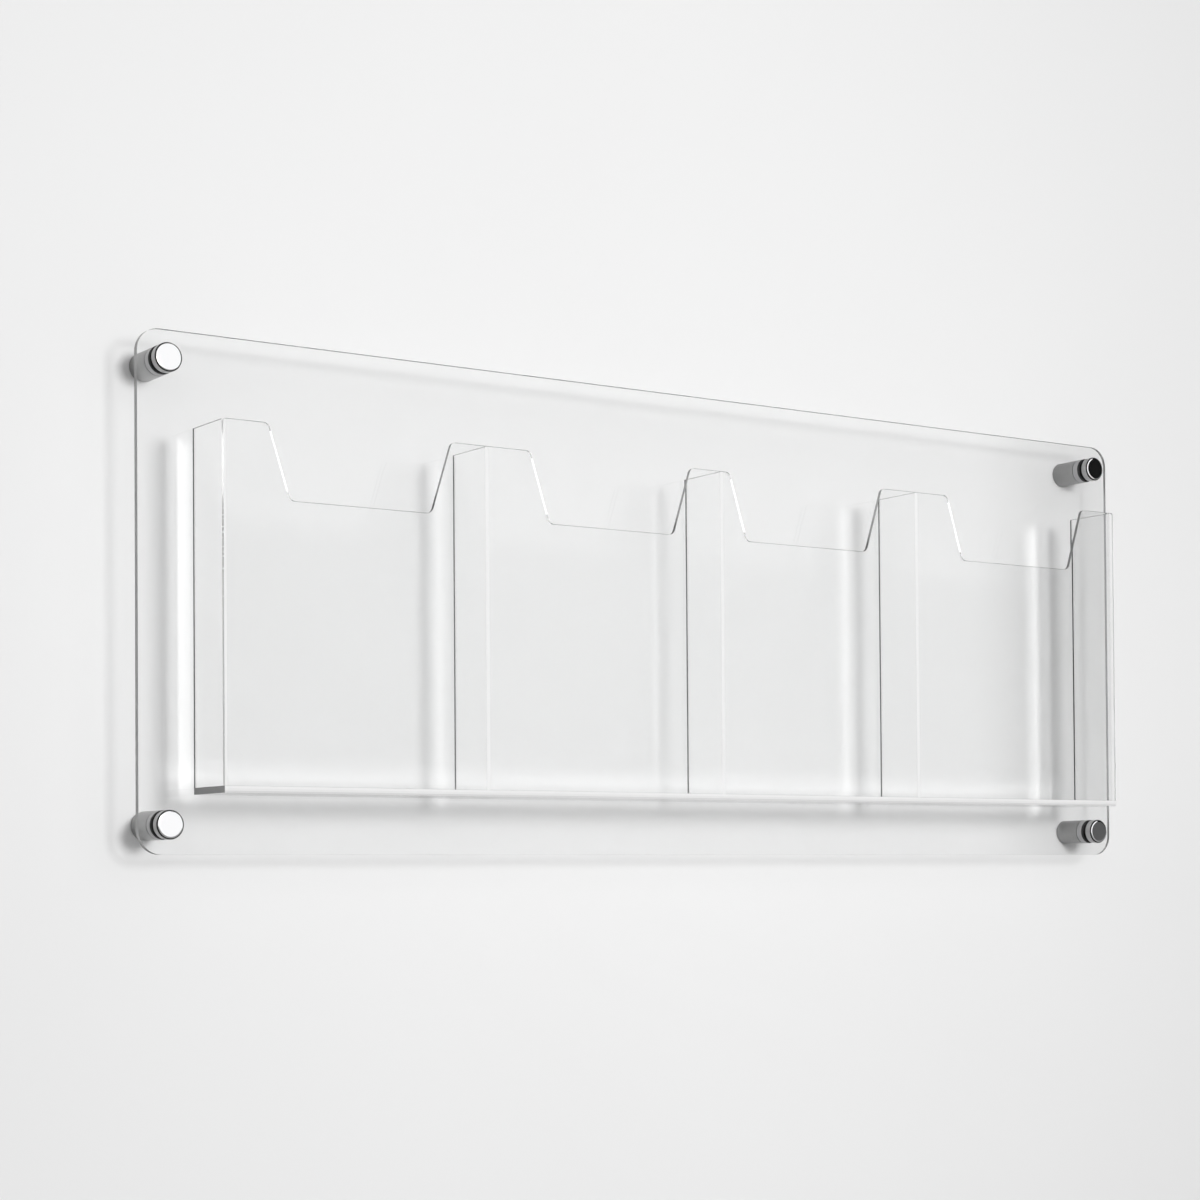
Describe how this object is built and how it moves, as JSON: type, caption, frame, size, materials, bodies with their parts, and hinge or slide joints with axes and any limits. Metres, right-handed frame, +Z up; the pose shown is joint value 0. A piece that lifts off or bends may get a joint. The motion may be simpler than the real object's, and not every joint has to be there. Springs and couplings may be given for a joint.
{
  "type": "magazine rack",
  "caption": "Clear acrylic wall magazine rack: flat back panel on stand-offs, a row of shelf-floored pockets with notched fronts, and metal caps that unscrew.",
  "frame": {"origin": "on the wall plane, at the centre of the four stand-off screw holes", "axes": "+X to the viewer's right along the rack, +Y into the wall, +Z up; the pockets face -Y"},
  "size_m": [1, 0.0925, 0.39],
  "materials": {
    "clear_acrylic": "polished",
    "satin_steel": "satin",
    "polished_steel": "polished",
    "plated_stud": "satin",
    "black_rubber": "matte"
  },
  "bodies": {
    "rack": {"back_panel": "clear_acrylic", "pocket_shelf": "clear_acrylic", "front_sheet": "clear_acrylic", "left_end_wall": "clear_acrylic", "divider_1": "clear_acrylic", "divider_2": "clear_acrylic", "divider_3": "clear_acrylic", "right_end_wall": "clear_acrylic", "standoff_barrel_top_left": "satin_steel", "standoff_barrel_top_right": "satin_steel", "standoff_barrel_bottom_left": "satin_steel", "standoff_barrel_bottom_right": "satin_steel", "standoff_studs": "plated_stud", "rear_washers": "black_rubber"},
    "washer_top_left": {"front_washer_top_left": "black_rubber"},
    "cap_top_left": {"standoff_cap_top_left": "polished_steel"},
    "washer_top_right": {"front_washer_top_right": "black_rubber"},
    "cap_top_right": {"standoff_cap_top_right": "polished_steel"},
    "washer_bottom_left": {"front_washer_bottom_left": "black_rubber"},
    "cap_bottom_left": {"standoff_cap_bottom_left": "polished_steel"},
    "washer_bottom_right": {"front_washer_bottom_right": "black_rubber"},
    "cap_bottom_right": {"standoff_cap_bottom_right": "polished_steel"}
  },
  "joints": [
    {"name": "travel_top_left", "type": "slide", "parent": "rack", "child": "washer_top_left", "axis": [0, -1, 0], "range_m": [0, 0.006]},
    {"name": "turn_top_left", "type": "hinge", "parent": "washer_top_left", "child": "cap_top_left", "pos_m": [-0.478, -0.0445, 0.173], "axis": [0, -1, 0], "range_deg": [0, 1440]},
    {"name": "travel_top_right", "type": "slide", "parent": "rack", "child": "washer_top_right", "axis": [0, -1, 0], "range_m": [0, 0.006]},
    {"name": "turn_top_right", "type": "hinge", "parent": "washer_top_right", "child": "cap_top_right", "pos_m": [0.478, -0.0445, 0.173], "axis": [0, -1, 0], "range_deg": [0, 1440]},
    {"name": "travel_bottom_left", "type": "slide", "parent": "rack", "child": "washer_bottom_left", "axis": [0, -1, 0], "range_m": [0, 0.006]},
    {"name": "turn_bottom_left", "type": "hinge", "parent": "washer_bottom_left", "child": "cap_bottom_left", "pos_m": [-0.478, -0.0445, -0.173], "axis": [0, -1, 0], "range_deg": [0, 1440]},
    {"name": "travel_bottom_right", "type": "slide", "parent": "rack", "child": "washer_bottom_right", "axis": [0, -1, 0], "range_m": [0, 0.006]},
    {"name": "turn_bottom_right", "type": "hinge", "parent": "washer_bottom_right", "child": "cap_bottom_right", "pos_m": [0.478, -0.0445, -0.173], "axis": [0, -1, 0], "range_deg": [0, 1440]}
  ],
  "couplings": [
    {"joint": "travel_top_left", "follows": "turn_top_left", "m_per_rad": 0.0002387},
    {"joint": "travel_top_right", "follows": "turn_top_right", "m_per_rad": 0.0002387},
    {"joint": "travel_bottom_left", "follows": "turn_bottom_left", "m_per_rad": 0.0002387},
    {"joint": "travel_bottom_right", "follows": "turn_bottom_right", "m_per_rad": 0.0002387}
  ]
}
